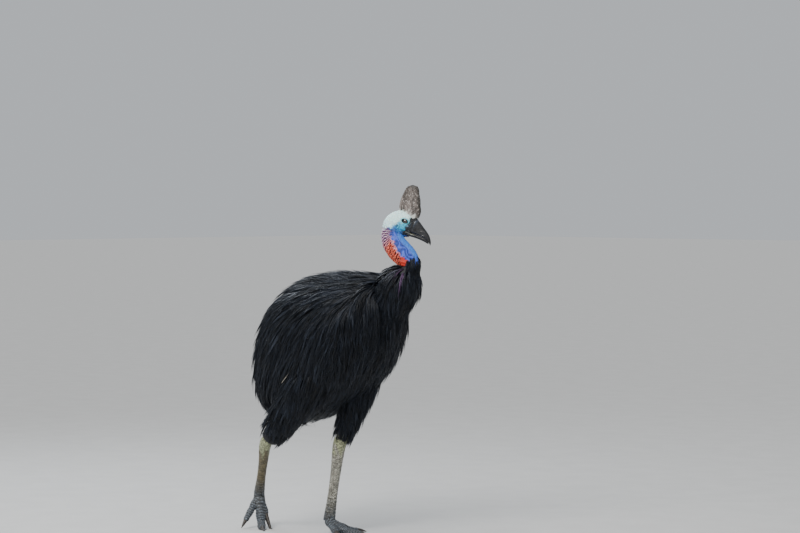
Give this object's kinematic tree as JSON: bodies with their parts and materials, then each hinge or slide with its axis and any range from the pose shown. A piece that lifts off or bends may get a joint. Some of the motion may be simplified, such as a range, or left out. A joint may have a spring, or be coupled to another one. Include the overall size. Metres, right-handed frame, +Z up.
{
  "type": "southern cassowary",
  "caption": "Life-size still model of a standing cassowary in mid-stride, with casque, bare neck, hair-like coat, scaled legs and clawed three-toed feet.",
  "frame": {"origin": "on the floor, under the middle of the bird's box", "axes": "+X the way the bird faces, +Y its left side, +Z up"},
  "size_m": [0.9376, 0.5056, 1.493],
  "materials": {
    "plumage": "loose hair-like black feathers with a faint blue sheen",
    "quill": "bare pale feather shafts, smooth",
    "neck_skin": "bare wrinkled skin, cobalt blue with an orange-red nape",
    "head_skin": "bare skin, pale turquoise over the crown and blue below",
    "casque": "horny, grey-brown, mottled and flaking",
    "bill": "horny, black, semi-gloss",
    "eye": "wet, dark brown",
    "wattle": "bare folded skin, red",
    "leg_skin": "scaled skin, olive to pale grey with dark speckles",
    "foot_skin": "scutes, blue-grey",
    "claw": "horny, black, worn at the tips"
  },
  "bodies": {
    "root": {"torso": "plumage", "wing_right": "quill", "wing_left": "quill", "tail": "plumage", "neck_base": "plumage", "neck": "neck_skin", "head": "head_skin", "eye_right": "eye", "eye_left": "eye", "bill_upper": "bill", "bill_lower": "bill", "casque": "casque", "wattle_right": "wattle", "wattle_left": "wattle", "thigh_right": "plumage", "shank_right": "leg_skin", "toe_middle_right": "foot_skin", "toe_inner_right": "foot_skin", "toe_outer_right": "foot_skin", "claw_inner_right": "claw", "claw_middle_right": "claw", "claw_outer_right": "claw", "thigh_left": "plumage", "shank_left": "leg_skin", "toe_middle_left": "foot_skin", "toe_inner_left": "foot_skin", "toe_outer_left": "foot_skin", "claw_inner_left": "claw", "claw_middle_left": "claw", "claw_outer_left": "claw"}
  },
  "joints": []
}
